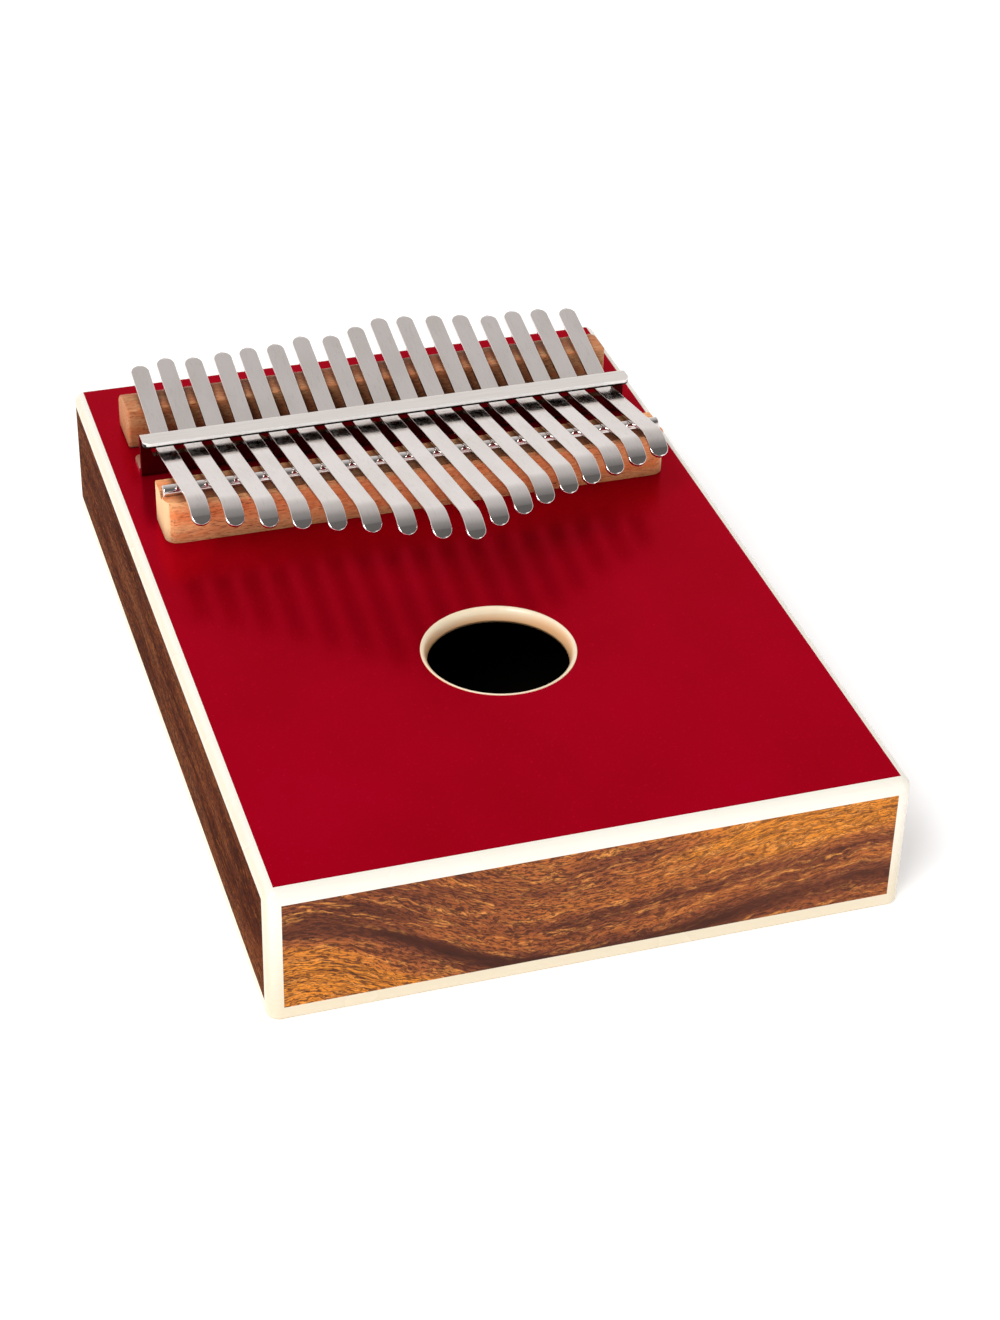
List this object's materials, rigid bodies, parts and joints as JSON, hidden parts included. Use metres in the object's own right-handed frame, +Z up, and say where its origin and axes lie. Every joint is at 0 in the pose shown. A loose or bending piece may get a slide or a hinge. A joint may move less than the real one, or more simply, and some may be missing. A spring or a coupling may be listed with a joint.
{
  "type": "box mbira",
  "caption": "Hollow wooden box mbira with a round sound hole and flat steel tines clamped over a rod bridge.",
  "frame": {"origin": "centre of the bottom face of the sound box", "axes": "+X to the player's right, +Y from the player's end to the clamped end, +Z up through the top board"},
  "size_m": [0.13, 0.196, 0.0526],
  "materials": {
    "red_lacquer": "thin red board under a deep gloss lacquer with a fine sparkle",
    "cream_binding": "polished cream",
    "body_wood": "satin, golden brown with dark wavy figure",
    "block_wood": "bare, sanded, pinkish",
    "inner_wood": "bare, sawn",
    "rod_steel": "polished plating",
    "clamp_steel": "bright plating with a soft grain on the lip",
    "screw_steel": "bright plating",
    "tine_steel": "nickel-plated spring steel, fine satin"
  },
  "bodies": {
    "sound_box": {"top_board": "red_lacquer", "back_board": "body_wood", "sound_hole_ring": "cream_binding", "front_side": "body_wood", "rear_side": "body_wood", "left_side": "body_wood", "right_side": "body_wood", "top_binding_front": "cream_binding", "top_binding_rear": "cream_binding", "top_binding_left": "cream_binding", "top_binding_right": "cream_binding", "bottom_binding_front": "cream_binding", "bottom_binding_rear": "cream_binding", "bottom_binding_left": "cream_binding", "bottom_binding_right": "cream_binding", "corner_binding_front_left": "cream_binding", "corner_binding_front_right": "cream_binding", "corner_binding_rear_left": "cream_binding", "corner_binding_rear_right": "cream_binding", "corner_blocks": "inner_wood", "clamp_brace": "inner_wood", "bridge_block": "block_wood", "bridge_rod": "rod_steel", "rear_block": "block_wood", "clamp_bar": "clamp_steel", "clamp_screws": "screw_steel"},
    "tine_01": {"tine_01": "tine_steel"},
    "tine_02": {"tine_02": "tine_steel"},
    "tine_03": {"tine_03": "tine_steel"},
    "tine_04": {"tine_04": "tine_steel"},
    "tine_05": {"tine_05": "tine_steel"},
    "tine_06": {"tine_06": "tine_steel"},
    "tine_07": {"tine_07": "tine_steel"},
    "tine_08": {"tine_08": "tine_steel"},
    "tine_09": {"tine_09": "tine_steel"},
    "tine_10": {"tine_10": "tine_steel"},
    "tine_11": {"tine_11": "tine_steel"},
    "tine_12": {"tine_12": "tine_steel"},
    "tine_13": {"tine_13": "tine_steel"},
    "tine_14": {"tine_14": "tine_steel"},
    "tine_15": {"tine_15": "tine_steel"},
    "tine_16": {"tine_16": "tine_steel"},
    "tine_17": {"tine_17": "tine_steel"}
  },
  "joints": [
    {"name": "tine_01_press", "type": "hinge", "parent": "sound_box", "child": "tine_01", "pos_m": [-0.052, 0.02958, 0.0413], "axis": [1, 0, 0], "range_deg": [0, 1.8], "stiffness_Nm_per_rad": 1.2},
    {"name": "tine_02_press", "type": "hinge", "parent": "sound_box", "child": "tine_02", "pos_m": [-0.0455, 0.02958, 0.0413], "axis": [1, 0, 0], "range_deg": [0, 1.8], "stiffness_Nm_per_rad": 1.2},
    {"name": "tine_03_press", "type": "hinge", "parent": "sound_box", "child": "tine_03", "pos_m": [-0.039, 0.02958, 0.0413], "axis": [1, 0, 0], "range_deg": [0, 1.8], "stiffness_Nm_per_rad": 1.2},
    {"name": "tine_04_press", "type": "hinge", "parent": "sound_box", "child": "tine_04", "pos_m": [-0.0325, 0.02958, 0.0413], "axis": [1, 0, 0], "range_deg": [0, 1.8], "stiffness_Nm_per_rad": 1.2},
    {"name": "tine_05_press", "type": "hinge", "parent": "sound_box", "child": "tine_05", "pos_m": [-0.026, 0.02958, 0.0413], "axis": [1, 0, 0], "range_deg": [0, 1.8], "stiffness_Nm_per_rad": 1.2},
    {"name": "tine_06_press", "type": "hinge", "parent": "sound_box", "child": "tine_06", "pos_m": [-0.0195, 0.02958, 0.0413], "axis": [1, 0, 0], "range_deg": [0, 1.8], "stiffness_Nm_per_rad": 1.2},
    {"name": "tine_07_press", "type": "hinge", "parent": "sound_box", "child": "tine_07", "pos_m": [-0.013, 0.02958, 0.0413], "axis": [1, 0, 0], "range_deg": [0, 1.8], "stiffness_Nm_per_rad": 1.2},
    {"name": "tine_08_press", "type": "hinge", "parent": "sound_box", "child": "tine_08", "pos_m": [-0.0065, 0.02958, 0.0413], "axis": [1, 0, 0], "range_deg": [0, 1.8], "stiffness_Nm_per_rad": 1.2},
    {"name": "tine_09_press", "type": "hinge", "parent": "sound_box", "child": "tine_09", "pos_m": [0, 0.02958, 0.0413], "axis": [1, 0, 0], "range_deg": [0, 1.8], "stiffness_Nm_per_rad": 1.2},
    {"name": "tine_10_press", "type": "hinge", "parent": "sound_box", "child": "tine_10", "pos_m": [0.0065, 0.02958, 0.0413], "axis": [1, 0, 0], "range_deg": [0, 1.8], "stiffness_Nm_per_rad": 1.2},
    {"name": "tine_11_press", "type": "hinge", "parent": "sound_box", "child": "tine_11", "pos_m": [0.013, 0.02958, 0.0413], "axis": [1, 0, 0], "range_deg": [0, 1.8], "stiffness_Nm_per_rad": 1.2},
    {"name": "tine_12_press", "type": "hinge", "parent": "sound_box", "child": "tine_12", "pos_m": [0.0195, 0.02958, 0.0413], "axis": [1, 0, 0], "range_deg": [0, 1.8], "stiffness_Nm_per_rad": 1.2},
    {"name": "tine_13_press", "type": "hinge", "parent": "sound_box", "child": "tine_13", "pos_m": [0.026, 0.02958, 0.0413], "axis": [1, 0, 0], "range_deg": [0, 1.8], "stiffness_Nm_per_rad": 1.2},
    {"name": "tine_14_press", "type": "hinge", "parent": "sound_box", "child": "tine_14", "pos_m": [0.0325, 0.02958, 0.0413], "axis": [1, 0, 0], "range_deg": [0, 1.8], "stiffness_Nm_per_rad": 1.2},
    {"name": "tine_15_press", "type": "hinge", "parent": "sound_box", "child": "tine_15", "pos_m": [0.039, 0.02958, 0.0413], "axis": [1, 0, 0], "range_deg": [0, 1.8], "stiffness_Nm_per_rad": 1.2},
    {"name": "tine_16_press", "type": "hinge", "parent": "sound_box", "child": "tine_16", "pos_m": [0.0455, 0.02958, 0.0413], "axis": [1, 0, 0], "range_deg": [0, 1.8], "stiffness_Nm_per_rad": 1.2},
    {"name": "tine_17_press", "type": "hinge", "parent": "sound_box", "child": "tine_17", "pos_m": [0.052, 0.02958, 0.0413], "axis": [1, 0, 0], "range_deg": [0, 1.8], "stiffness_Nm_per_rad": 1.2}
  ]
}
